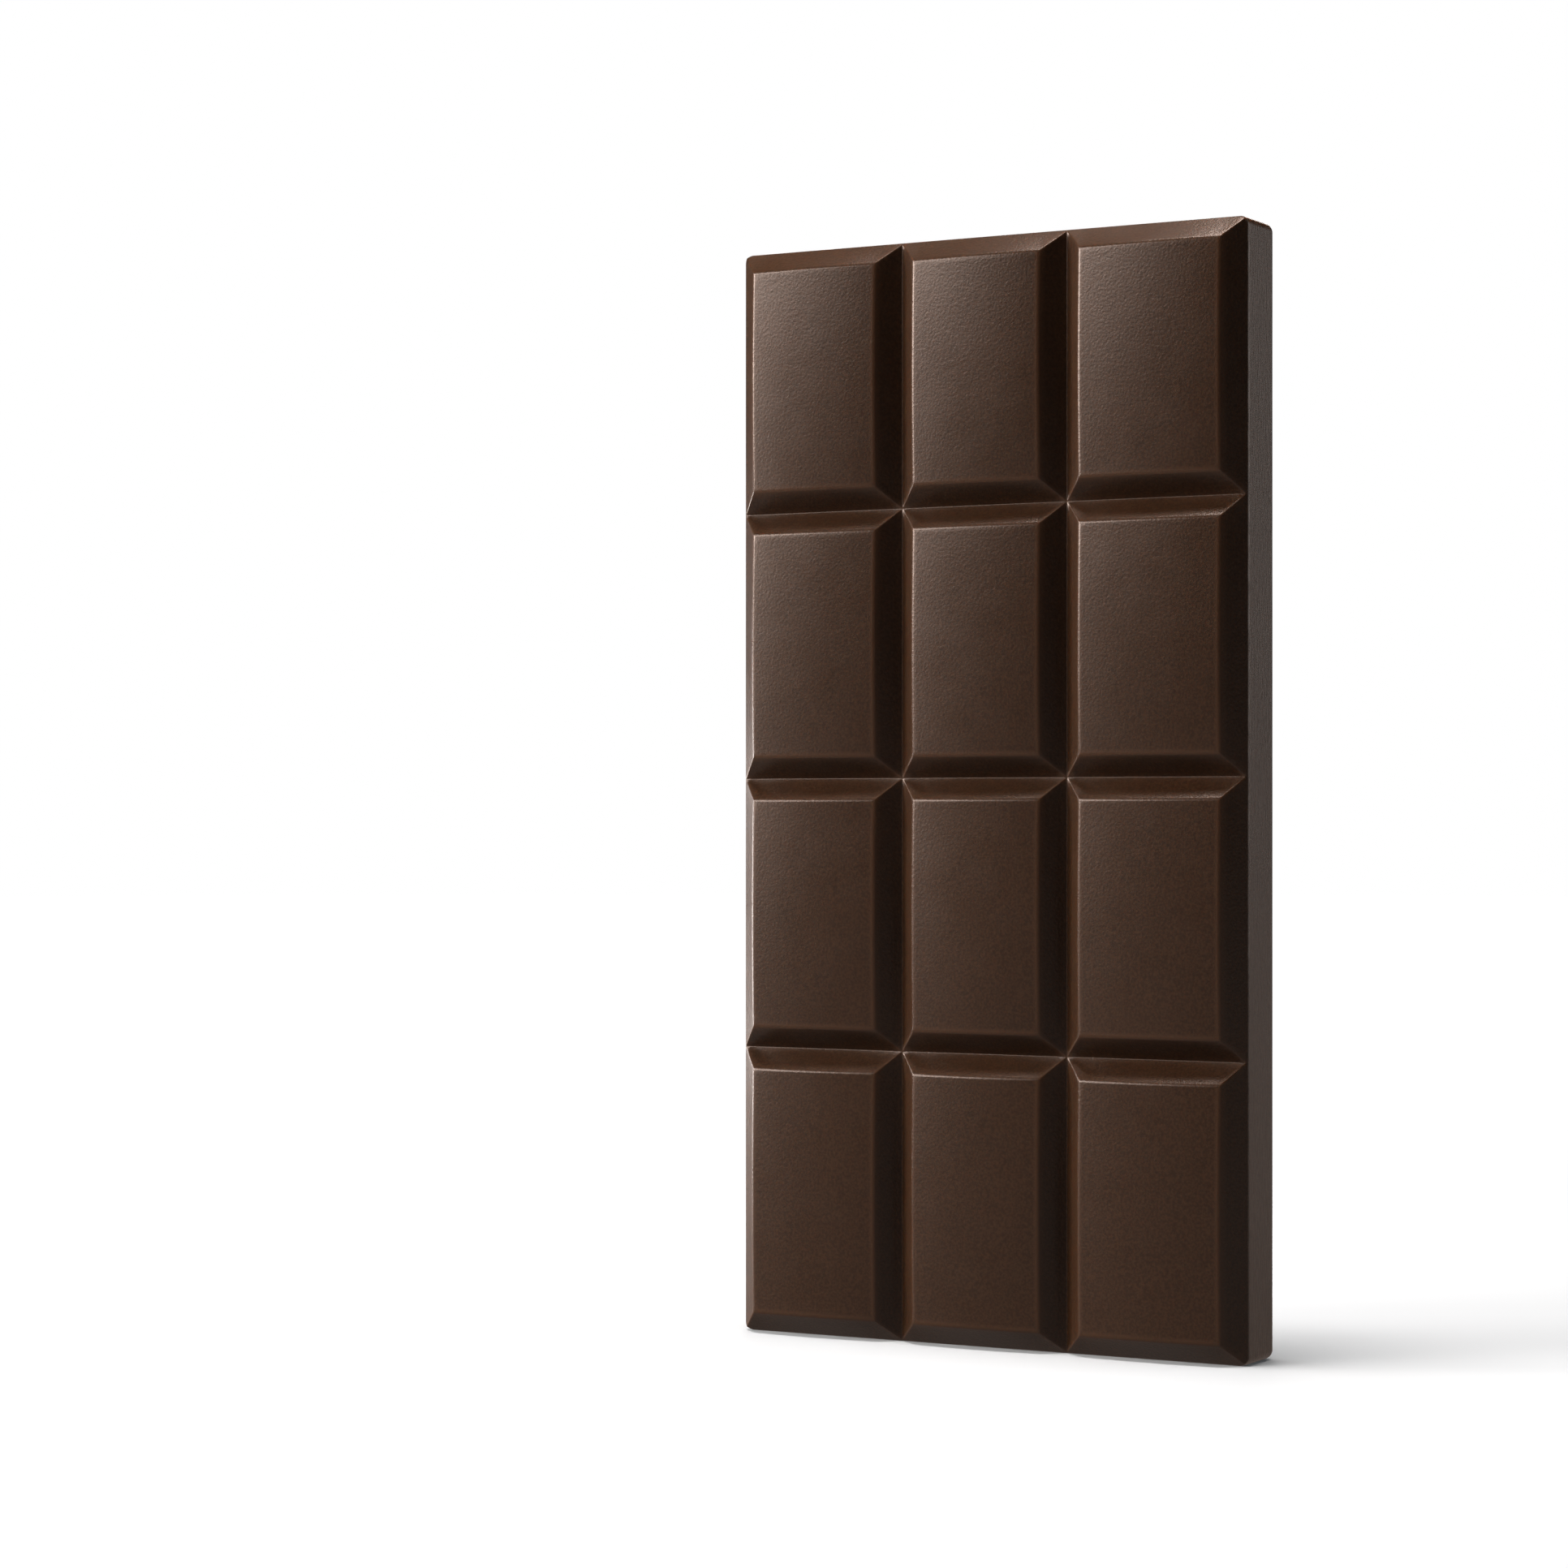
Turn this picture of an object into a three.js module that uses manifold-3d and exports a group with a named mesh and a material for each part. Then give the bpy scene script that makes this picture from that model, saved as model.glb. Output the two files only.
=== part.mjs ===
// A moulded tablet of dark chocolate, standing on its short end: a flat-backed slab whose face is
// divided by V-shaped grooves into three columns and four rows of bevelled, slightly crowned segments.
// Units are millimetres. X runs across the width and +Z up the length. The moulded face looks to -Y
// and the flat back to +Y. The origin is the middle of the bounding box's bottom.

import * as THREE from 'three';
import { mergeVertices } from 'three/addons/utils/BufferGeometryUtils.js';
import Module from 'manifold-3d';

// Driving dimensions.
const columnWidths = [24.9, 24.8, 26.0]; // left to right, facing the moulded side
const rowHeights = [39.6, 37.3, 36.8, 36.3]; // bottom to top
const slabDepth = 8.4; // flat back to the foot of the outer bevels
const reliefDepth = 2.8; // foot of the outer bevels to the edge of a segment's top
const bevelWidth = 2.9; // width of an outer bevel, measured along the face
const crownAcross = 0.6; // how far a segment's top swells between its side edges
const crownAlong = 0.3; // how far it swells between its upper and lower edges
const grooveWidth = 5.9; // width of a groove between the edges of two segments' tops
const grooveRise = 0.3; // how much shallower the grooves are than the outer bevels
const grooveRadius = 0.25; // rounding in the bottom of a groove
const shoulderRadius = 0.6; // rounding between a bevel and a segment's top
const rimRadius = 0.6; // rounding between an outer bevel and a side wall
const cornerRadius = 1.3; // corners of the outline
const backRounding = 0.45; // rounding between the flat back and the side walls

// How finely the curved stretches are divided.
const grooveSteps = 1;
const shoulderSteps = 2;
const rimSteps = 2;
const crownStepsAcross = 6;
const crownStepsAlong = 6;
const cornerSteps = 6;
const backSteps = 3;

const margin = 1; // how far the cutting blocks reach past each other, so that no faces coincide

const sum = (values) => values.reduce((total, value) => total + value, 0);
const width = sum(columnWidths);
const height = sum(rowHeights);
const thickness = slabDepth + reliefDepth + crownAcross + crownAlong;
const backY = thickness / 2;
const footY = backY - slabDepth;

// The slopes of the bevels, from the plane of the face. A section is a list of points that give its
// height above the foot of the outer bevels over the distance along the face.
const bevelAngle = Math.atan2(reliefDepth, bevelWidth);
const grooveAngle = Math.atan2(reliefDepth - grooveRise, grooveWidth / 2);

// A rounding of the corner between two straight lines that meet at `corner`, as a list of
// [distance, height] points from where it leaves the first line to where it joins the second.
function rounding(corner, fromAngle, toAngle, radius, steps) {
  const turn = toAngle - fromAngle;
  const side = Math.sign(turn);
  const tangent = radius * Math.tan(Math.abs(turn) / 2);
  const reach = side * radius; // from the rounding's centre to its points, signed by the way it turns
  const start = [corner[0] - tangent * Math.cos(fromAngle), corner[1] - tangent * Math.sin(fromAngle)];
  const centre = [start[0] - reach * Math.sin(fromAngle), start[1] + reach * Math.cos(fromAngle)];
  const points = [];
  for (let step = 0; step <= steps; step += 1) {
    const angle = fromAngle + (turn * step) / steps;
    points.push([centre[0] + reach * Math.sin(angle), centre[1] - reach * Math.cos(angle)]);
  }
  return points;
}

// Points of the section from the side wall, or from a groove's middle, up to a segment's top.
function outerSection() {
  const rim = rounding([0, 0], Math.PI / 2, bevelAngle, rimRadius, rimSteps);
  const shoulder = rounding([bevelWidth, reliefDepth], bevelAngle, 0, shoulderRadius, shoulderSteps);
  return [...rim, ...shoulder];
}

function grooveSection() {
  const bottom = rounding([0, grooveRise], -grooveAngle, grooveAngle, grooveRadius, 2 * grooveSteps);
  const upperHalf = bottom.slice(grooveSteps);
  const shoulder = rounding([grooveWidth / 2, reliefDepth], grooveAngle, 0, shoulderRadius, shoulderSteps);
  return [...upperHalf, ...shoulder];
}

// Height on a section at a distance from its start, by straight lines between its points.
function heightOn(section, distance) {
  if (distance <= section[0][0]) return section[0][1];
  for (let i = 1; i < section.length; i += 1) {
    const [d0, h0] = section[i - 1];
    const [d1, h1] = section[i];
    if (distance <= d1) return h0 + ((h1 - h0) * (distance - d0)) / (d1 - d0);
  }
  return section[section.length - 1][1];
}

const outer = outerSection();
const groove = grooveSection();

// Grid stations along one direction of the face. Each station knows its place, how high the section
// is there, and its share of the way between the edges of the segment's top, from -1 to 1.
function stations(cellSizes, crownSteps) {
  const list = [];
  let start = -sum(cellSizes) / 2;
  cellSizes.forEach((size, index) => {
    const first = index === 0 ? outer : groove;
    const last = index === cellSizes.length - 1 ? outer : groove;
    const topStart = first[first.length - 1][0];
    const topEnd = size - last[last.length - 1][0];
    const distances = first.map(([distance]) => distance);
    for (let step = 1; step < crownSteps; step += 1) {
      distances.push(topStart + ((topEnd - topStart) * step) / crownSteps);
    }
    distances.push(...last.map(([distance]) => size - distance).reverse());
    distances.forEach((distance, i) => {
      if (index > 0 && i === 0) return; // a groove's middle belongs to the cell before it
      list.push({
        place: start + distance,
        rise: Math.min(heightOn(first, distance), heightOn(last, size - distance)),
        share: THREE.MathUtils.clamp((2 * distance - topStart - topEnd) / (topEnd - topStart), -1, 1),
      });
    });
    start += size;
  });
  const border = { ...list[0] };
  list.unshift({ ...border, place: border.place - margin });
  list.push({ ...border, place: list[list.length - 1].place + margin });
  return list;
}

// The block under the moulded surface: a grid of heights over the face, walls and a plain back.
function mouldedBlock() {
  const columns = stations(columnWidths, crownStepsAcross);
  const rows = stations(rowHeights, crownStepsAlong);
  // The crown is a parabola each way. It starts at the level of the grooves and grows up the bevels,
  // so that the edges of a segment's top swell with it and only its corners stay at their height.
  const heightAt = (a, b) => {
    const rise = Math.min(a.rise, b.rise);
    const climb = Math.max(0, (rise - grooveRise) / (reliefDepth - grooveRise));
    return rise + climb * (crownAcross * (1 - a.share ** 2) + crownAlong * (1 - b.share ** 2));
  };
  const rowLength = rows.length;
  const lift = height / 2;
  const front = [];
  const back = [];
  for (const a of columns) {
    for (const b of rows) {
      front.push([a.place, footY - heightAt(a, b), b.place + lift]);
      back.push([a.place, backY + margin, b.place + lift]);
    }
  }
  const positions = [...front, ...back].flat();
  const triangles = [];
  const quad = (p, q, r, s) => triangles.push(p, q, r, p, r, s);
  const at = (i, j) => i * rowLength + j;
  const behind = (i, j) => front.length + at(i, j);
  for (let i = 0; i + 1 < columns.length; i += 1) {
    for (let j = 0; j + 1 < rowLength; j += 1) {
      const [p, q, r, s] = [at(i, j), at(i + 1, j), at(i + 1, j + 1), at(i, j + 1)];
      // Split along the outward diagonal, so that the mitred corners of the bevels stay crisp.
      const rising = front[p][1] + front[r][1] <= front[q][1] + front[s][1];
      if (rising) quad(p, q, r, s);
      else quad(q, r, s, p);
      quad(behind(i, j), behind(i, j + 1), behind(i + 1, j + 1), behind(i + 1, j));
    }
  }
  const lastI = columns.length - 1;
  const lastJ = rowLength - 1;
  for (let i = 0; i < lastI; i += 1) {
    quad(at(i, 0), behind(i, 0), behind(i + 1, 0), at(i + 1, 0));
    quad(at(i, lastJ), at(i + 1, lastJ), behind(i + 1, lastJ), behind(i, lastJ));
  }
  for (let j = 0; j < lastJ; j += 1) {
    quad(at(0, j), at(0, j + 1), behind(0, j + 1), behind(0, j));
    quad(at(lastI, j), behind(lastI, j), behind(lastI, j + 1), at(lastI, j + 1));
  }
  const geometry = new THREE.BufferGeometry();
  geometry.setAttribute('position', new THREE.Float32BufferAttribute(positions, 3));
  geometry.setIndex(triangles);
  return geometry;
}

// The outline with its rounded corners, drawn through the thickness and rounded round the back.
function outlineBlock() {
  const inset = width / 2 - cornerRadius;
  const top = height - cornerRadius;
  const shape = new THREE.Shape();
  shape.absarc(inset, cornerRadius, cornerRadius, -Math.PI / 2, 0);
  shape.absarc(inset, top, cornerRadius, 0, Math.PI / 2);
  shape.absarc(-inset, top, cornerRadius, Math.PI / 2, Math.PI);
  shape.absarc(-inset, cornerRadius, cornerRadius, Math.PI, 1.5 * Math.PI);
  const geometry = new THREE.ExtrudeGeometry(shape, {
    depth: thickness + margin,
    curveSegments: cornerSteps,
    bevelThickness: backRounding,
    bevelSize: backRounding,
    bevelOffset: -backRounding,
    bevelSegments: backSteps,
  });
  geometry.rotateX(Math.PI / 2);
  geometry.translate(0, backY - backRounding, 0);
  return geometry;
}

function toSolid(wasm, geometry) {
  const bare = geometry.clone();
  bare.deleteAttribute('normal');
  bare.deleteAttribute('uv');
  const merged = mergeVertices(bare, 1e-5);
  return new wasm.Manifold(new wasm.Mesh({
    numProp: 3,
    vertProperties: new Float32Array(merged.attributes.position.array),
    triVerts: new Uint32Array(merged.index.array),
  }));
}

function toGeometry(solid) {
  const mesh = solid.getMesh();
  const geometry = new THREE.BufferGeometry();
  geometry.setAttribute('position', new THREE.BufferAttribute(mesh.vertProperties, 3));
  geometry.setIndex(new THREE.BufferAttribute(mesh.triVerts, 1));
  geometry.computeVertexNormals();
  return geometry;
}

const darkChocolate = new THREE.MeshStandardMaterial({
  color: new THREE.Color(0.075, 0.04, 0.025),
  roughness: 0.42,
  metalness: 0,
});

const wasm = await Module();
wasm.setup();

const barSolid = toSolid(wasm, mouldedBlock()).intersect(toSolid(wasm, outlineBlock()));
const bar = new THREE.Mesh(toGeometry(barSolid), darkChocolate);
bar.name = 'bar';

const tablet = new THREE.Group();
tablet.add(bar);

export default tablet;
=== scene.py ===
"""A dark chocolate tablet in a plain studio, laid out as a Blender add-on.

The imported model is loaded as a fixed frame. The moulded bar is then modelled where the frame's
plain solid is, finished as chocolate, and set on a stage with its floor, lights and camera.
Lengths are in metres. The moulded face looks to -Y and the flat back to +Y.
"""

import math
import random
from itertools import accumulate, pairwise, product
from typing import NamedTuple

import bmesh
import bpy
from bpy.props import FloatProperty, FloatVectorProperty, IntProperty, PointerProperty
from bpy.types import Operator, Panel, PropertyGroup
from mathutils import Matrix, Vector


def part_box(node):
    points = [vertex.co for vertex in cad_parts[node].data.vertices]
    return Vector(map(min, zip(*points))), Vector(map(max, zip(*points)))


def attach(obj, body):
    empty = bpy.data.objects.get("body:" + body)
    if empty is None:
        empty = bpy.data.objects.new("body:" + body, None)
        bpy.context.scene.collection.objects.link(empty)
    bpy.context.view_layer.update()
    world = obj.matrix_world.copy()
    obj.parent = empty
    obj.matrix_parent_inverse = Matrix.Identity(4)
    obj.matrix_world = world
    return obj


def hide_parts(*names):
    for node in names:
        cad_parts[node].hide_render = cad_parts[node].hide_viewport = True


bl_info = {
    "name": "Chocolate Tablet",
    "version": (1, 0, 0),
    "blender": (4, 5, 0),
    "location": "3D View > Sidebar > Tablet",
    "description": "Models a moulded dark chocolate tablet and the studio that it stands in",
    "category": "Object",
}

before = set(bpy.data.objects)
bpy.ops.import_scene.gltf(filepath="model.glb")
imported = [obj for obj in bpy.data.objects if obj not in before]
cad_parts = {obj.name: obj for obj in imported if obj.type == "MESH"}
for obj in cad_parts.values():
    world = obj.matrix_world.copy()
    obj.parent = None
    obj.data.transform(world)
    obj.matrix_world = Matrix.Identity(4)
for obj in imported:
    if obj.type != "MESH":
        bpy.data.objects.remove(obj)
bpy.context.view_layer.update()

MM = 0.001
BODY = "root"
NODE = "bar"
SLOT = "dark_chocolate"

LOW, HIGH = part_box(NODE)
WIDTH = HIGH.x - LOW.x
HEIGHT = HIGH.z - LOW.z
BACK_Y = HIGH.y

# Modelling.
TOUCH = 1e-6  # what lies nearer than this to a cut or to another vertex is taken as touching it
SLACK = 0.01 * MM  # how far a vertex may lie from a level and still count as being on it
FOOT_SLACK = 1 * MM  # how far a face's middle may lie from a segment's foot and still be that foot's
FRONT_NORMAL = -0.9  # a face whose normal's Y is below this is one of the moulded face's flats
SLOPE_NORMAL = 0.3  # a face whose normal's Y is farther from 0 than this isn't a wall
FLAT_ANGLE = math.radians(0.2)  # faces that turn less than this are merged
CREASE_ANGLE = math.radians(20)  # edges that turn more than this are rounded
SHARP_ANGLE = math.radians(50)  # edges that turn more than this after the rounding stay sharp
ROUNDING_SEGMENTS = 4
STANDING_MARGIN = 1 * MM  # how far up the bar stays even, so that it stands flat
STANDING_BLEND = 3 * MM  # how much farther up the unevenness reaches its full depth
PINHOLE_RADII = (0.16, 0.34)  # the smallest and the largest, in millimetres
PINHOLE_OFFSETS = (-0.5, 0.1)  # how far a bubble's middle lies outside the back, in radii
PINHOLE_MARGIN = 3 * MM  # between the pinholes and the edges of the back
PINHOLE_FOOT = 3 * PINHOLE_MARGIN  # between the pinholes and the end that the bar stands on
BUBBLE_SUBDIVISIONS = 2


class Wave(NamedTuple):
    """One unevenness of the cast surface: how wide and how high its swells are."""

    name: str
    size: float
    depth: float


WAVES = (Wave("cast_waves", 16 * MM, 0.012 * MM), Wave("cast_ripples", 4 * MM, 0.003 * MM))


class Pattern(NamedTuple):
    """A noise of the finish, whose bumps are about the given size."""

    size: float
    detail: float = 1.0
    roughness: float = 0.5
    distortion: float = 0.0


# Finish.
DRIFT = Pattern(11 * MM, 2.0)
SPECKS = Pattern(0.32 * MM)
GRAIN = Pattern(0.36 * MM, 1.5, 0.45, 0.3)
STREAKS = Pattern(0.3 * MM, 2.0)
PATCHES = Pattern(5 * MM, 2.0)
NOISE_LOW, NOISE_MEAN, NOISE_HIGH = 0.3, 0.5, 0.7  # little of a noise lies outside the outer two
PAINTED_GLOW = "edge_glow"  # attribute that holds how much painted glow a place gets: a paler brown painted in for light that comes through the edges
EDGE_REACH = 0.8 * MM  # how far from a segment's edges the painted glow fades out
MITRE_REACH = 0.5 * MM  # how far to each side of a mitre the painted glow fades out
LEFT_PAINTED_GLOW, TOP_PAINTED_GLOW = 0.5, 0.0  # painted glow of a segment's left and top edges, on which the lamps' light falls, so they get less or none of it
SPECK_SHARE = 0.85  # how much of the change between the two browns is in specks, not in drifts
# How far from its border each finish is full and how far it is gone. The face's border is the foot
# of the outer bevels, the back's is the back, and that of the streaks drawn across is the bar's ends.
FACE_FULL, FACE_GONE = 0.3 * MM, 0.1 * MM
BACK_FULL, BACK_GONE = 0.1 * MM, 0.4 * MM
END_FULL, END_GONE = 0.2 * MM, 0.8 * MM
GRAIN_DEPTH = 0.024 * MM
BACK_GRAIN_DEPTH = 0.004 * MM
STREAK_STRETCH = 6  # how much longer than wide the streaks are
STREAK_DEPTH = 0.04 * MM
STREAK_CONTRAST = 0.4  # change of roughness in the streaks
PATCH_CONTRAST = 0.08  # change of roughness in the patches
WALL_ROUGHNESS = 0.06  # how much rougher the walls are
REFRACTION = 1.47
SKIN = 0.6 * MM  # how far light wanders under the surface
SKIN_COLOURS = (1.0, 0.4, 0.2)  # how far red, green and blue light wander, as shares of that
SKIN_WEIGHT = 0.4  # share of the light that wanders


class Softbox(NamedTuple):
    """A rectangular lamp that faces the bar's middle: azimuth 0 is straight in front, 90 at its right."""

    name: str
    azimuth: float  # in degrees, like the elevation
    elevation: float
    distance: float
    size: tuple
    power: float
    warmth: float  # 0 is white and 1 is WARM_WHITE


SOFTBOXES = (
    Softbox("key_light", -45, 26, 1.2, (0.32, 0.32), 5.8, 1.0),
    Softbox("left_light", -65, 14, 1.2, (0.32, 0.32), 11.2, 1.0),
    Softbox("front_light", -30, 26, 1.2, (0.32, 0.32), 2.1, 1.0),
    Softbox("eye_light", -50, 4, 1.2, (0.32, 0.32), 0.5, 1.0),
    Softbox("low_light", -95, -6, 0.4, (0.14, 0.14), 1.0, 0.4),
    Softbox("top_light", -40, 86, 1.0, (0.3, 0.3), 13.0, 1.0),
    Softbox("side_light", 125, 12, 1.0, (0.9, 0.5), 2.9, 0.6),
    Softbox("back_light", -155, 12, 1.2, (0.5, 0.5), 7.0, 1.0),
)
WHITE = (1.0, 1.0, 1.0)
WARM_WHITE = (1.0, 0.8, 0.7)
FLOOR_RADIUS = 3.0
FLOOR_SIDES = 96
FLOOR_COLOUR = (0.62, 0.765, 0.87)
FLOOR_NEAR, FLOOR_FAR = 0.12, 0.4  # where the lit floor starts and ends its change to a plain white
FLOOR_WHITE = 1.02  # brightness of that white
SHEEN_START, SHEEN_END = 0.04, 0.2  # where the mirrored floor starts and ends growing brighter
NEAR_SHEEN, FAR_SHEEN = 0.36, 0.4  # brightness of the floor's glow as the bar mirrors it, painted in for the lit floor, and lower near the bar as painted shade
BACKDROP_WHITE = 1.0  # brightness of the backdrop as the camera sees it
AMBIENT = 0.004  # brightness of the backdrop as the bar sees it
SENSOR_WIDTH = 36.0  # in millimetres
CLIP_START = 0.01  # what is nearer to the camera isn't drawn

LENGTH_DIGITS = 5  # digits of a length that the panel shows


def length(name, description, default):
    """A property that holds a length in metres."""
    return FloatProperty(
        name=name, description=description, default=default, unit="LENGTH", precision=LENGTH_DIGITS
    )


def lengths(name, description, default):
    """A property that holds a few lengths in metres."""
    return FloatVectorProperty(
        name=name, description=description, default=default, size=len(default), unit="LENGTH",
        precision=LENGTH_DIGITS,
    )


def number(name, description, default):
    """A property that holds a whole number of at least 1."""
    return IntProperty(name=name, description=description, default=default, min=1)


def colour(name, description, default):
    """A property that holds a colour."""
    return FloatVectorProperty(
        name=name, description=description, default=default, size=3, subtype="COLOR", min=0.0, max=1.0
    )


class TabletShape(PropertyGroup):
    """Sizes of the bar."""

    columns: lengths(
        "Columns", "Widths of the columns of segments, from left to right",
        (24.9 * MM, 24.8 * MM, 26.0 * MM),
    )
    rows: lengths(
        "Rows", "Heights of the rows of segments, from the bottom up",
        (39.6 * MM, 37.3 * MM, 36.8 * MM, 36.3 * MM),
    )
    slab: length("Slab", "Depth of the side walls, from the back to the outer bevels' foot", 8.4 * MM)
    relief: length("Relief", "Height of the segments' edges above the outer bevels' foot", 2.8 * MM)
    bevel: length("Bevel", "Width of an outer bevel, measured along the face", 2.9 * MM)
    groove: length("Groove", "Width of a groove between the edges of two segments", 5.9 * MM)
    groove_rise: length("Groove rise", "Height of the grooves above the outer bevels' foot", 0.3 * MM)
    groove_floor: length("Groove floor", "Width of the flat line at the bottom of a groove", 0.2 * MM)
    crown_across: length("Crown across", "How far a segment's top swells between its sides", 0.6 * MM)
    crown_along: length("Crown along", "How far it swells between its lower and upper edges", 0.3 * MM)
    corner: length("Corner radius", "Radius of the outline's four corners", 1.3 * MM)
    shoulder: length("Shoulder", "How far the rounding reaches from a segment's edge", 0.3 * MM)
    rim: length("Rim", "How far the rounding reaches from the edge of a side wall", 0.24 * MM)
    mitre: length("Mitre", "How far the rounding reaches from a line where two bevels meet", 0.1 * MM)
    back: length("Back edge", "How far the rounding reaches from the edge of the back", 0.45 * MM)
    grid: length("Grid", "Size of the mesh's squares", 0.8 * MM)
    corner_cuts: number("Corner cuts", "Facets of each outline corner", 8)
    pinholes: number("Pinholes", "Number of burst air bubbles in the back", 9)
    seed: number("Seed", "Start of the random sizes and places of the pinholes", 5)


class TabletFinish(PropertyGroup):
    """Colours and surface of the chocolate."""

    deep: colour("Deep brown", "Colour of the chocolate where it is darkest", (0.031, 0.0157, 0.0077))
    light: colour("Light brown", "Colour of the chocolate where it is palest", (0.0585, 0.0297, 0.0144))
    # painted glow: a paler brown painted along the segments' edges, strongest on the sides away from the
    # lamps, in place of light coming through them
    edge: colour(
        "Painted edge glow", "Paler brown painted along the segments' edges for the light that shows through", (0.088, 0.048, 0.026)
    )
    roughness: FloatProperty(
        name="Roughness", description="Mean roughness of the face and the back", default=0.32,
        subtype="FACTOR", min=0.0, max=1.0,
    )


class TabletStudio(PropertyGroup):
    """Place and aim of the camera."""

    camera: lengths("Camera", "Place of the camera", (0.23475, -0.47373, 0.07171))
    turn: FloatProperty(
        name="Turn", description="Angle that the camera is turned to its left",
        default=math.radians(29.475), subtype="ANGLE",
    )
    lens: FloatProperty(
        name="Lens", description="Focal length on a 36 mm sensor", default=89.44, unit="CAMERA"
    )
    drop: FloatProperty(
        name="Drop", description="How far the bar sits lower in the image, as a share of its width",
        default=0.0205,
    )


def edit(obj):
    """Makes the object the only selected one and enters its edit mode."""
    bpy.ops.object.select_all(action="DESELECT")
    obj.select_set(True)
    bpy.context.view_layer.objects.active = obj
    bpy.ops.object.mode_set(mode="EDIT")


def leave_edit():
    bpy.ops.object.mode_set(mode="OBJECT")


def pick(obj, kind, test):
    """Selects the vertices, edges or faces that pass a test, and returns how many there are."""
    bpy.ops.mesh.select_all(action="DESELECT")
    bpy.context.tool_settings.mesh_select_mode = [kind == other for other in ("verts", "edges", "faces")]
    mesh = bmesh.from_edit_mesh(obj.data)
    found = [element for element in getattr(mesh, kind) if test(element)]
    for element in found:
        element.select_set(True)
    mesh.select_flush_mode()
    bmesh.update_edit_mesh(obj.data)
    return len(found)


def cut(place, normal, **options):
    """Cuts the whole mesh along a plane, without merging what lies near it."""
    bpy.ops.mesh.select_all(action="SELECT")
    bpy.ops.mesh.bisect(plane_co=place, plane_no=normal, threshold=TOUCH, **options)


def apply_modifier(obj, kind, **settings):
    """Adds a modifier, sets it and applies it."""
    modifier = obj.modifiers.new(kind.title(), kind)
    for name, value in settings.items():
        setattr(modifier, name, value)
    bpy.ops.object.modifier_apply(modifier=modifier.name)


def middle(span):
    return (span[0] + span[1]) / 2


def size(span):
    return span[1] - span[0]


def arch(place, span):
    """Height of a parabola that stands on a span and is 1 high in its middle."""
    return max(0, 1 - ((place - middle(span)) / (size(span) / 2)) ** 2)


def beyond(place, span):
    """How far a place lies beyond the nearer end of a span. It is negative inside the span."""
    return max(span[0] - place, place - span[1])


def nearness(distance, reach):
    """Goes from 1 to 0 as a distance grows to a reach."""
    return max(0, 1 - abs(distance) / reach)


def steps(start, end, step):
    """Places that divide a stretch evenly, without its ends."""
    count = max(1, round((end - start) / step))
    return [start + (end - start) * i / count for i in range(1, count)]


def is_front(face):
    return face.normal.y < FRONT_NORMAL


def bevel_to_grooves(shape):
    """How far in from the outline an outer bevel has risen to the level of the grooves."""
    return shape.groove_rise * shape.bevel / shape.relief


class Cell:
    """The span of one segment along one direction: its foot between the grooves, and its top."""

    def __init__(self, start, end, first, last, shape):
        rim = bevel_to_grooves(shape)
        floor = shape.groove_floor / 2
        self.foot = (start + (rim if first else floor), end - (rim if last else floor))
        self.top = (
            start + (shape.bevel if first else shape.groove / 2),
            end - (shape.bevel if last else shape.groove / 2),
        )

    def grid_lines(self, step):
        """Places of the cuts that divide the segment, among them the edges of its top."""
        (low, high), (top_low, top_high) = self.foot, self.top
        return [
            *steps(low, top_low, step), top_low, *steps(top_low, top_high, step), top_high,
            *steps(top_high, high, step),
        ]


def cells(borders, shape):
    """The cells between borders, of which the first and the last are the bar's own."""
    final = len(borders) - 2
    return [Cell(a, b, i == 0, i == final, shape) for i, (a, b) in enumerate(pairwise(borders))]


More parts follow.
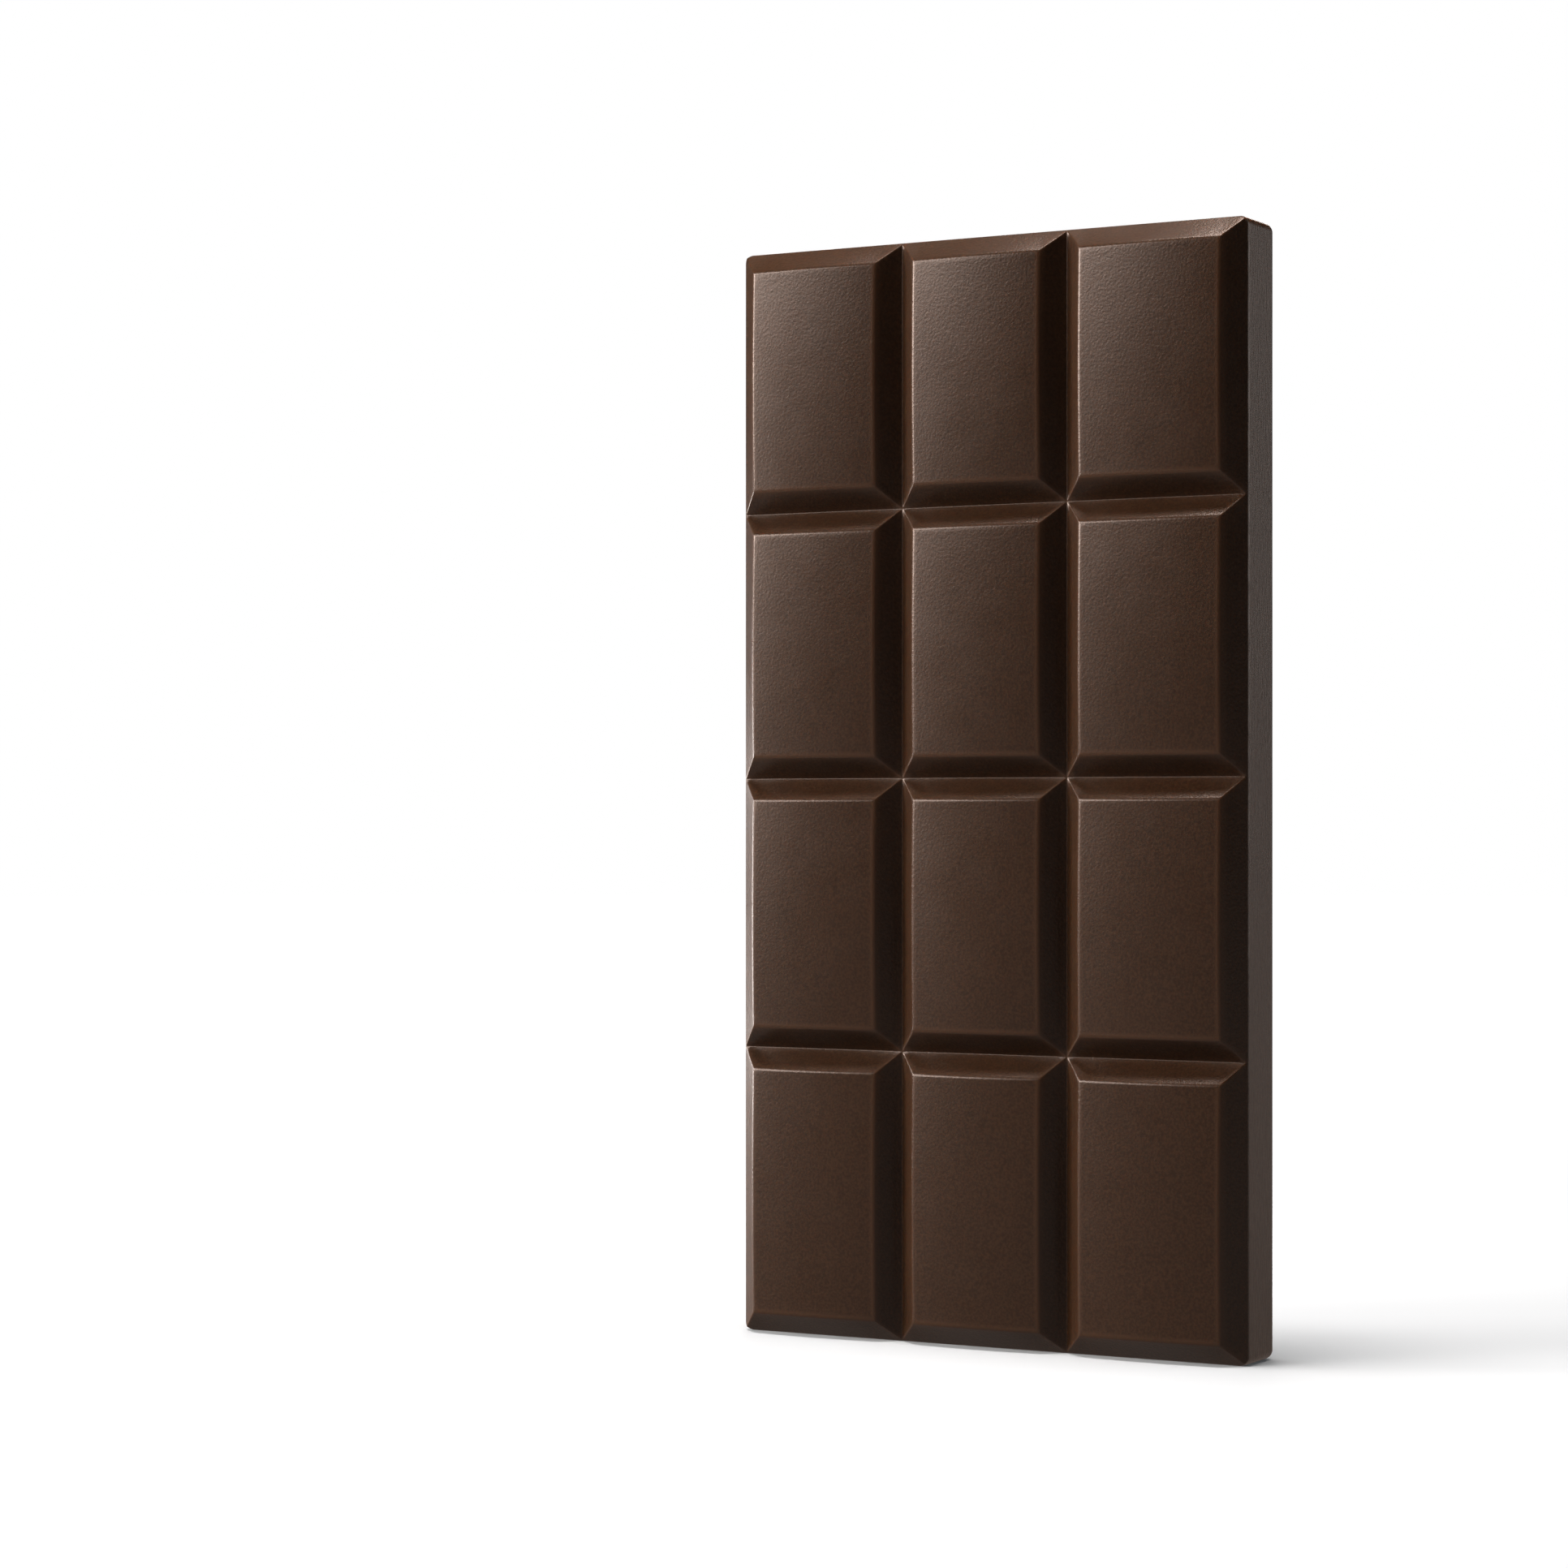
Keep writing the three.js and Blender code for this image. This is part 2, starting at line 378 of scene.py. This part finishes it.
class Bar:
    """Models the bar step by step, from a plain slab to the cast surface."""

    def __init__(self, shape):
        self.shape = shape
        self.foot_y = BACK_Y - shape.slab
        self.top_y = self.foot_y - shape.relief
        column_borders = list(accumulate(shape.columns, initial=LOW.x))
        row_borders = list(accumulate(shape.rows, initial=LOW.z))
        self.column_lines = column_borders[1:-1]
        self.row_lines = row_borders[1:-1]
        self.columns = cells(column_borders, shape)
        self.rows = cells(row_borders, shape)

    def build(self):
        bpy.ops.object.select_all(action="DESELECT")
        self.add_slab()
        edit(self.obj)
        self.score_grooves()
        self.raise_face()
        self.raise_segments()
        self.round_outline()
        self.merge_flats()
        self.cut_grid()
        self.clear_crossings()
        self.weigh_edges()
        leave_edit()
        self.crown_segments()
        self.round_edges()
        self.roughen()
        self.pierce_back()
        self.mark_painted_glow()
        bpy.ops.object.shade_smooth_by_angle(angle=SHARP_ANGLE)
        apply_modifier(self.obj, "WEIGHTED_NORMAL", keep_sharp=True)
        return self.obj

    def add_slab(self):
        centre = (middle((LOW.x, HIGH.x)), middle((self.foot_y, BACK_Y)), middle((LOW.z, HIGH.z)))
        bpy.ops.mesh.primitive_cube_add(size=1, location=centre, scale=(WIDTH, self.shape.slab, HEIGHT))
        self.obj = bpy.context.object
        self.obj.name = "moulded_bar"
        self.obj.data.name = "moulded_bar"
        bpy.ops.object.transform_apply(location=True, rotation=True, scale=True)

    def score_grooves(self):
        """Marks out the flat line at the bottom of each groove."""
        half = self.shape.groove_floor / 2
        for line, side in product(self.column_lines, (-half, half)):
            cut((line + side, 0, 0), (1, 0, 0))
        for line, side in product(self.row_lines, (-half, half)):
            cut((0, 0, line + side), (0, 0, 1))

    def raise_face(self):
        """Raises the whole face from the side walls to the level of the grooves."""
        pick(self.obj, "faces", is_front)
        bpy.ops.mesh.inset(thickness=bevel_to_grooves(self.shape), depth=self.shape.groove_rise)

    def raise_segments(self):
        """Draws each segment up from its foot between the grooves to its smaller top."""
        rise = self.shape.relief - self.shape.groove_rise
        for column, row in product(self.columns, self.rows):
            foot = Vector((middle(column.foot), 0, middle(row.foot)))
            top = Vector((middle(column.top), 0, middle(row.top)))

            def is_foot(face):
                away = face.calc_center_median() - foot
                return is_front(face) and max(abs(away.x), abs(away.z)) < FOOT_SLACK

            pick(self.obj, "faces", is_foot)
            move = top - foot - Vector((0, rise, 0))
            bpy.ops.mesh.extrude_region_move(TRANSFORM_OT_translate={"value": move})
            shrink = (size(column.top) / size(column.foot), 1, size(row.top) / size(row.foot))
            bpy.ops.transform.resize(value=shrink, center_override=top)

    def round_outline(self):
        """Rounds the outline's corners by cuts that touch each corner's circle."""
        radius = self.shape.corner
        count = self.shape.corner_cuts
        for right, up in product((-1, 1), (-1, 1)):
            centre_x = (HIGH.x if right > 0 else LOW.x) - right * radius
            centre_z = (HIGH.z if up > 0 else LOW.z) - up * radius
            for i in range(count):
                angle = (i + 0.5) / count * math.pi / 2
                normal = Vector((right * math.cos(angle), 0, up * math.sin(angle)))
                place = Vector((centre_x, 0, centre_z)) + normal * radius
                cut(place, normal, clear_outer=True, use_fill=True)

    def merge_flats(self):
        """Merges what the cuts left in one plane."""
        bpy.ops.mesh.select_all(action="SELECT")
        bpy.ops.mesh.remove_doubles(threshold=TOUCH)
        bpy.ops.mesh.dissolve_limited(angle_limit=FLAT_ANGLE)

    def cut_grid(self):
        """Divides the mesh into squares, with lines that meet on the mitres."""
        step = self.shape.grid
        for row in self.rows:
            for place in row.grid_lines(step):
                cut((0, 0, place), (0, 0, 1))
        for column in self.columns:
            for place in column.grid_lines(step):
                cut((place, 0, 0), (1, 0, 0))
        for place in steps(self.foot_y, BACK_Y, step):
            cut((0, place, 0), (0, 1, 0))

    def clear_crossings(self):
        """Removes the short edges inside the squares where two grooves cross."""
        reach = self.shape.groove_floor / 2 + TOUCH

        def in_crossing(vert):
            near_column = any(abs(vert.co.x - line) < reach for line in self.column_lines)
            near_row = any(abs(vert.co.z - line) < reach for line in self.row_lines)
            return near_column and near_row and vert.co.y < self.foot_y

        if pick(self.obj, "edges", lambda edge: all(map(in_crossing, edge.verts))):
            bpy.ops.mesh.dissolve_edges(use_verts=False, use_face_split=False)

    def rounding(self, edge):
        """How far an edge is rounded."""
        shape = self.shape
        if not edge.is_convex or edge.calc_face_angle(0) < CREASE_ANGLE:
            return 0
        depths = [vert.co.y for vert in edge.verts]
        if min(depths) > BACK_Y - SLACK:
            return shape.back
        if max(depths) < self.top_y + SLACK:
            return shape.shoulder
        if all(abs(face.normal.y) > SLOPE_NORMAL for face in edge.link_faces):
            return shape.mitre
        return shape.rim

    def widest_rounding(self):
        shape = self.shape
        return max(shape.back, shape.shoulder, shape.mitre, shape.rim)

    def weigh_edges(self):
        """Gives each edge its share of the widest rounding."""
        mesh = bmesh.from_edit_mesh(self.obj.data)
        weight = mesh.edges.layers.float.new("bevel_weight_edge")
        for edge in mesh.edges:
            edge[weight] = self.rounding(edge) / self.widest_rounding()
        bmesh.update_edit_mesh(self.obj.data)

    def round_edges(self):
        apply_modifier(
            self.obj, "BEVEL", width=self.widest_rounding(), segments=ROUNDING_SEGMENTS,
            limit_method="WEIGHT", use_clamp_overlap=False,
        )

    def weigh_vertices(self, name, share_at):
        """Makes a vertex group whose weights are a function of place."""
        group = self.obj.vertex_groups.new(name=name)
        for vert in self.obj.data.vertices:
            share = share_at(vert.co)
            if share > 0:
                group.add([vert.index], min(1, share), "REPLACE")
        return group.name

    def crown_segments(self):
        """Swells the segments, from the level of the grooves up to the middle of each top."""
        shape = self.shape
        groove_y = self.foot_y - shape.groove_rise
        full = shape.crown_across + shape.crown_along

        def share_at(place):
            climb = max(0, (groove_y - place.y) / (groove_y - self.top_y))
            across = max(arch(place.x, column.top) for column in self.columns)
            along = max(arch(place.z, row.top) for row in self.rows)
            return climb * (shape.crown_across * across + shape.crown_along * along) / full

        crown = self.weigh_vertices("crown", share_at)
        apply_modifier(
            self.obj, "DISPLACE", direction="Y", strength=-full, mid_level=0.0, vertex_group=crown
        )

    def roughen(self):
        """Gives the surface the slight unevenness of a cast, everywhere but near the standing face."""
        cast = self.weigh_vertices("cast", lambda place: (place.z - STANDING_MARGIN) / STANDING_BLEND)
        for wave in WAVES:
            texture = bpy.data.textures.new(wave.name, "CLOUDS")
            texture.noise_scale = wave.size
            texture.noise_depth = 1
            apply_modifier(
                self.obj, "DISPLACE", texture=texture, texture_coords="LOCAL", strength=wave.depth,
                vertex_group=cast,
            )

    def pierce_back(self):
        """Opens a few burst air bubbles in the back."""
        random.seed(self.shape.seed)
        bubbles = []
        for _ in range(self.shape.pinholes):
            radius = random.uniform(*PINHOLE_RADII) * MM
            x = random.uniform(LOW.x + PINHOLE_MARGIN, HIGH.x - PINHOLE_MARGIN)
            z = random.uniform(LOW.z + PINHOLE_FOOT, HIGH.z - PINHOLE_MARGIN)
            y = BACK_Y + radius * random.uniform(*PINHOLE_OFFSETS)
            bpy.ops.mesh.primitive_ico_sphere_add(
                subdivisions=BUBBLE_SUBDIVISIONS, radius=radius, location=(x, y, z)
            )
            bubbles.append(bpy.context.object)
        bpy.ops.object.select_all(action="DESELECT")
        for bubble in bubbles:
            bubble.select_set(True)
        bpy.context.view_layer.objects.active = bubbles[0]
        bpy.ops.object.join()
        bpy.ops.object.select_all(action="DESELECT")
        self.obj.select_set(True)
        bpy.context.view_layer.objects.active = self.obj
        apply_modifier(self.obj, "BOOLEAN", operation="DIFFERENCE", object=bubbles[0], solver="EXACT")
        bpy.data.objects.remove(bubbles[0])

    def painted_glow_at(self, place):
        """How much painted glow a place on the moulded face gets, from 0 to 1.

        The glow is a paler brown painted in for light that comes through the edges. It is full at the
        edges and mitres on a segment's right and bottom, away from the lamps, and less or none at those
        that the light falls on.
        """
        column = min(self.columns, key=lambda cell: beyond(place.x, cell.top))
        row = min(self.rows, key=lambda cell: beyond(place.z, cell.top))
        across, along = beyond(place.x, column.top), beyond(place.z, row.top)
        side_glow = 1 if place.x > middle(column.top) else LEFT_PAINTED_GLOW
        level_glow = 1 if place.z < middle(row.top) else TOP_PAINTED_GLOW
        edge_glow = side_glow if across > along else level_glow
        glow = edge_glow * nearness(max(across, along), EDGE_REACH)
        if min(across, along) > 0:
            mitre_glow = (side_glow + level_glow) / 2
            glow = max(glow, mitre_glow * nearness(across - along, MITRE_REACH))
        return glow

    def mark_painted_glow(self):
        """Stores each vertex's painted glow as an attribute, for the colour."""
        mesh = self.obj.data
        marks = mesh.attributes.new(PAINTED_GLOW, "FLOAT", "POINT")
        for vert, mark in zip(mesh.vertices, marks.data):
            if vert.co.y < self.foot_y - SLACK:
                mark.value = self.painted_glow_at(vert.co)


class Value:
    """A socket that Python's arithmetic works on, by adding Math nodes."""

    def __init__(self, tree, socket):
        self.tree = tree
        self.socket = socket

    def maths(self, operation, *values):
        return self.tree.add("ShaderNodeMath", {"operation": operation}, dict(enumerate(values)))

    def __add__(self, other):
        return self.maths("ADD", self, other)

    def __radd__(self, other):
        return self.maths("ADD", other, self)

    def __sub__(self, other):
        return self.maths("SUBTRACT", self, other)

    def __rsub__(self, other):
        return self.maths("SUBTRACT", other, self)

    def __mul__(self, other):
        return self.maths("MULTIPLY", self, other)

    def __rmul__(self, other):
        return self.maths("MULTIPLY", other, self)


class Tree:
    """A node tree that is emptied and then built from node to node."""

    def __init__(self, owner):
        owner.use_nodes = True
        self.nodes = owner.node_tree.nodes
        self.links = owner.node_tree.links
        self.nodes.clear()

    def add(self, kind, settings=None, inputs=None, output=0):
        """Adds a node, sets it up, fills its sockets and returns one of its outputs."""
        node = self.nodes.new(kind)
        for name, value in (settings or {}).items():
            setattr(node, name, value)
        for key, value in (inputs or {}).items():
            if isinstance(value, Value):
                self.links.new(value.socket, node.inputs[key])
            else:
                node.inputs[key].default_value = value
        return Value(self, node.outputs[output]) if node.outputs else None

    def object_place(self):
        return self.add("ShaderNodeTexCoord", output="Object")

    def axis(self, vector, name):
        """One coordinate of a vector: X, Y or Z."""
        return self.add("ShaderNodeSeparateXYZ", inputs={0: vector}, output=name)

    def scaled(self, vector, scale):
        return self.add("ShaderNodeMapping", inputs={"Vector": vector, "Scale": scale})

    def noise(self, vector, pattern):
        inputs = {
            "Vector": vector,
            "Scale": 1 / pattern.size,
            "Detail": pattern.detail,
            "Roughness": pattern.roughness,
            "Distortion": pattern.distortion,
        }
        return self.add("ShaderNodeTexNoise", inputs=inputs)

    def between(self, value, start, end):
        """Goes from 0 to 1 as a value goes from start to end."""
        settings = {"interpolation_type": "SMOOTHSTEP"}
        return self.add("ShaderNodeMapRange", settings, {0: value, 1: start, 2: end})

    def mix(self, factor, first, second):
        """Mixes two colours, which go into the node's sockets 6 and 7."""
        settings = {"data_type": "RGBA"}
        return self.add("ShaderNodeMix", settings, {"Factor": factor, 6: first, 7: second}, output=2)

    def mix_shader(self, factor, first, second):
        return self.add("ShaderNodeMixShader", inputs={0: factor, 1: first, 2: second})


def opaque(rgb):
    return (*rgb, 1.0)


def chocolate(finish, foot_y):
    """Dark chocolate: pebbled on the moulded face, faintly streaked on the walls, smooth on the back."""
    material = bpy.data.materials.new(SLOT)
    tree = Tree(material)
    place = tree.object_place()
    depth, level = tree.axis(place, "Y"), tree.axis(place, "Z")
    moulded = 1 - tree.between(depth, foot_y - FACE_FULL, foot_y + FACE_GONE)
    back = tree.between(depth, BACK_Y - BACK_GONE, BACK_Y - BACK_FULL)
    wall = 1 - moulded - back
    bottom = 1 - tree.between(level, LOW.z + END_FULL, LOW.z + END_GONE)
    top = tree.between(level, HIGH.z - END_GONE, HIGH.z - END_FULL)
    # Colour: slow drifts and fine specks of two browns, and a paler brown painted along the segments'
    # edges as a glow of light coming through them.
    drift = tree.between(tree.noise(place, DRIFT), NOISE_LOW, NOISE_HIGH)
    specks = tree.between(tree.noise(place, SPECKS), NOISE_LOW, NOISE_HIGH)
    share = specks * SPECK_SHARE + drift * (1 - SPECK_SHARE)
    body = tree.mix(share, opaque(finish.deep), opaque(finish.light))
    glow = tree.add("ShaderNodeAttribute", {"attribute_name": PAINTED_GLOW}, output="Fac")
    tone = tree.mix(glow, body, opaque(finish.edge))
    # Streaks: drawn up the side walls, and across the top and bottom of the bar.
    drawn_up = tree.noise(tree.scaled(place, (1, 1, 1 / STREAK_STRETCH)), STREAKS)
    drawn_across = tree.noise(tree.scaled(place, (1 / STREAK_STRETCH, 1, 1)), STREAKS)
    streaks = drawn_up + (drawn_across - drawn_up) * (top + bottom)
    # Height: grain on the face, the streaks on the walls, and a little grain on the back.
    grain = tree.noise(place, GRAIN) * (moulded * GRAIN_DEPTH + back * BACK_GRAIN_DEPTH)
    height = grain + streaks * (wall * STREAK_DEPTH)
    bump = tree.add("ShaderNodeBump", inputs={"Strength": 1.0, "Distance": 1.0, "Height": height})
    # Roughness: faint patches, and on the walls the streaks and a little more all over.
    patches = (tree.noise(place, PATCHES) - NOISE_MEAN) * PATCH_CONTRAST
    dulled = wall * ((streaks - NOISE_MEAN) * STREAK_CONTRAST + WALL_ROUGHNESS)
    inputs = {
        "Base Color": tone,
        "Roughness": finish.roughness + patches + dulled,
        "Normal": bump,
        "IOR": REFRACTION,
        "Subsurface Weight": SKIN_WEIGHT,
        "Subsurface Radius": SKIN_COLOURS,
        "Subsurface Scale": SKIN,
    }
    shader = tree.add("ShaderNodeBsdfPrincipled", inputs=inputs)
    tree.add("ShaderNodeOutputMaterial", inputs={"Surface": shader})
    return material


class TABLET_OT_bar(Operator):
    """Model the moulded bar in place of the frame's plain solid"""

    bl_idname = "tablet.bar"
    bl_label = "Model the Bar"

    def execute(self, context):
        bar = Bar(context.scene.tablet_shape)
        obj = bar.build()
        obj.data.materials.append(chocolate(context.scene.tablet_finish, bar.foot_y))
        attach(obj, BODY)
        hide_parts(NODE)
        return {"FINISHED"}


def floor_finish():
    """A pale floor, lit round the bar and plain white farther out. To the bar it is a glowing sheet,
    painted in for the lit floor and a little dimmer near the bar as painted shade.
    """
    material = bpy.data.materials.new("studio_floor")
    tree = Tree(material)
    place = tree.object_place()
    distance = tree.add("ShaderNodeVectorMath", {"operation": "LENGTH"}, {0: place}, output="Value")
    paint = tree.add("ShaderNodeBsdfDiffuse", inputs={"Color": opaque(FLOOR_COLOUR)})
    white = tree.add("ShaderNodeEmission", inputs={"Strength": FLOOR_WHITE})
    lit = tree.mix_shader(tree.between(distance, FLOOR_NEAR, FLOOR_FAR), paint, white)
    # the glow that the bar mirrors in place of the lit floor, dimmer near the bar as painted shade
    near, far = (
        tree.add("ShaderNodeEmission", inputs={"Color": opaque(WARM_WHITE), "Strength": strength})
        for strength in (NEAR_SHEEN, FAR_SHEEN)
    )
    sheen = tree.mix_shader(tree.between(distance, SHEEN_START, SHEEN_END), near, far)
    seen = tree.add("ShaderNodeLightPath", output="Is Camera Ray")
    tree.add("ShaderNodeOutputMaterial", inputs={"Surface": tree.mix_shader(seen, sheen, lit)})
    return material


def add_floor():
    """Lays the floor, which the bar mirrors but takes no other light from."""
    bpy.ops.mesh.primitive_circle_add(
        vertices=FLOOR_SIDES, radius=FLOOR_RADIUS, fill_type="NGON", location=(0, 0, 0)
    )
    floor = bpy.context.object
    floor.name = "floor"
    floor.data.materials.append(floor_finish())
    floor.visible_diffuse = False


def add_softbox(box):
    azimuth, elevation = math.radians(box.azimuth), math.radians(box.elevation)
    level = math.cos(elevation)
    direction = Vector((math.sin(azimuth) * level, -math.cos(azimuth) * level, math.sin(elevation)))
    aim = Vector((0, 0, HEIGHT / 2))
    bpy.ops.object.light_add(type="AREA", location=aim + direction * box.distance)
    light = bpy.context.object
    light.name = box.name
    light.rotation_euler = direction.to_track_quat("Z", "Y").to_euler()
    light.data.shape = "RECTANGLE"
    light.data.size, light.data.size_y = box.size
    light.data.energy = box.power
    light.data.color = Vector(WHITE).lerp(Vector(WARM_WHITE), box.warmth)
    light.visible_camera = False


def add_backdrop(scene):
    """Plain white where the camera looks past the floor, and hardly any light from it."""
    world = bpy.data.worlds.new("studio")
    scene.world = world
    tree = Tree(world)
    seen = tree.add("ShaderNodeLightPath", output="Is Camera Ray")
    dim, bright = (
        tree.add("ShaderNodeBackground", inputs={"Color": opaque(WHITE), "Strength": strength})
        for strength in (AMBIENT, BACKDROP_WHITE)
    )
    tree.add("ShaderNodeOutputWorld", inputs={"Surface": tree.mix_shader(seen, dim, bright)})


def add_camera(scene, studio):
    bpy.ops.object.camera_add(location=studio.camera, rotation=(math.pi / 2, 0, studio.turn))
    camera = bpy.context.object
    camera.name = "camera"
    camera.data.lens = studio.lens
    camera.data.sensor_width = SENSOR_WIDTH
    camera.data.shift_y = studio.drop
    camera.data.clip_start = CLIP_START
    scene.camera = camera


class TABLET_OT_stage(Operator):
    """Set up the floor, the lights and the camera"""

    bl_idname = "tablet.stage"
    bl_label = "Set Up the Stage"

    def execute(self, context):
        bpy.ops.object.select_all(action="DESELECT")
        add_floor()
        for box in SOFTBOXES:
            add_softbox(box)
        add_backdrop(context.scene)
        add_camera(context.scene, context.scene.tablet_studio)
        context.scene.view_settings.view_transform = "Standard"
        return {"FINISHED"}


class TABLET_PT_panel(Panel):
    """Lists what can be made and changed"""

    bl_idname = "TABLET_PT_panel"
    bl_label = "Chocolate Tablet"
    bl_space_type = "VIEW_3D"
    bl_region_type = "UI"
    bl_category = "Tablet"

    def draw(self, context):
        scene = context.scene
        for operator in (TABLET_OT_bar, TABLET_OT_stage):
            self.layout.operator(operator.bl_idname)
        for group in (scene.tablet_shape, scene.tablet_finish, scene.tablet_studio):
            box = self.layout.box()
            for name in group.__annotations__:
                box.prop(group, name)


CLASSES = (TabletShape, TabletFinish, TabletStudio, TABLET_OT_bar, TABLET_OT_stage, TABLET_PT_panel)


def register():
    for cls in CLASSES:
        bpy.utils.register_class(cls)
    bpy.types.Scene.tablet_shape = PointerProperty(type=TabletShape)
    bpy.types.Scene.tablet_finish = PointerProperty(type=TabletFinish)
    bpy.types.Scene.tablet_studio = PointerProperty(type=TabletStudio)


def unregister():
    del bpy.types.Scene.tablet_studio
    del bpy.types.Scene.tablet_finish
    del bpy.types.Scene.tablet_shape
    for cls in reversed(CLASSES):
        bpy.utils.unregister_class(cls)


def main():
    register()
    bpy.ops.tablet.bar()
    bpy.ops.tablet.stage()


if __name__ == "__main__":
    main()
